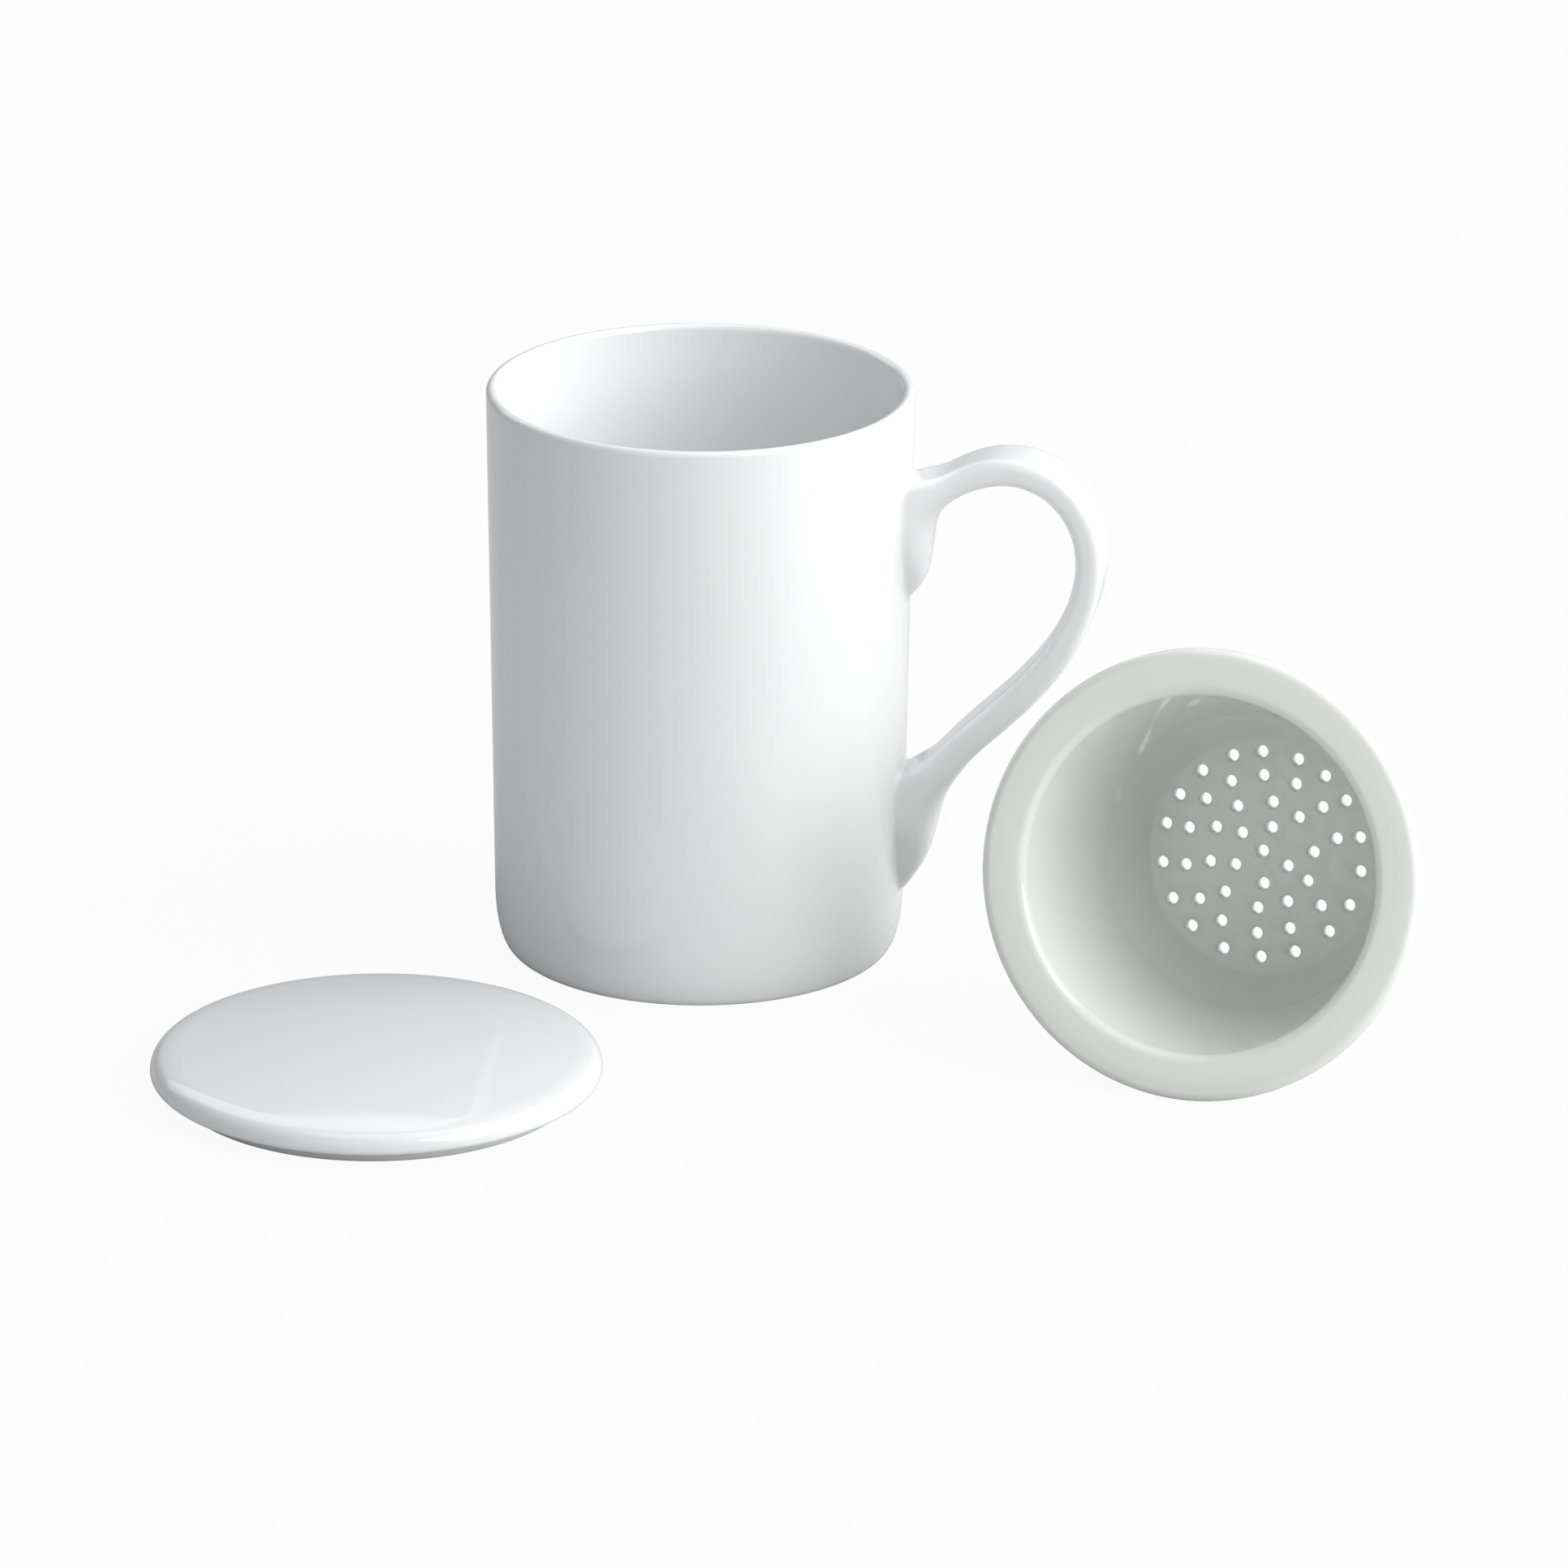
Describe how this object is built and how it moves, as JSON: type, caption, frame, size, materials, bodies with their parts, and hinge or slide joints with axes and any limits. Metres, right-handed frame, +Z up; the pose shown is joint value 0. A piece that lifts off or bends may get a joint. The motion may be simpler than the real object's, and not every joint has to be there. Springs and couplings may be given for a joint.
{
  "type": "lidded tea mug with infuser",
  "caption": "Tall white porcelain tea mug with a looped strap handle, a lift-out perforated porcelain infuser cup and a flat lift-off lid, both set down beside it.",
  "frame": {"origin": "middle of the mug's foot ring, on the surface it stands on", "axes": "+Z up along the mug's axis, +X out through the middle of the handle, -Y towards the side where the lid lies and the infuser's mouth looks"},
  "size_m": [0.2233, 0.1626, 0.107],
  "materials": {
    "mug_porcelain": "glossy white glaze, bare foot ring",
    "infuser_porcelain": "glossy white glaze",
    "lid_porcelain": "glossy white glaze, bare locating ring edge"
  },
  "bodies": {
    "mug": {"mug_body": "mug_porcelain", "mug_handle": "mug_porcelain"},
    "lid": {"lid": "lid_porcelain"},
    "infuser": {"infuser": "infuser_porcelain"}
  },
  "joints": [
    {"name": "lid_lift", "type": "slide", "parent": "mug", "child": "lid", "axis": [0, 0, 1], "range_m": [0, 0.13]},
    {"name": "infuser_lift", "type": "slide", "parent": "mug", "child": "infuser", "axis": [0, 0, 1], "range_m": [0, 0.13]}
  ]
}
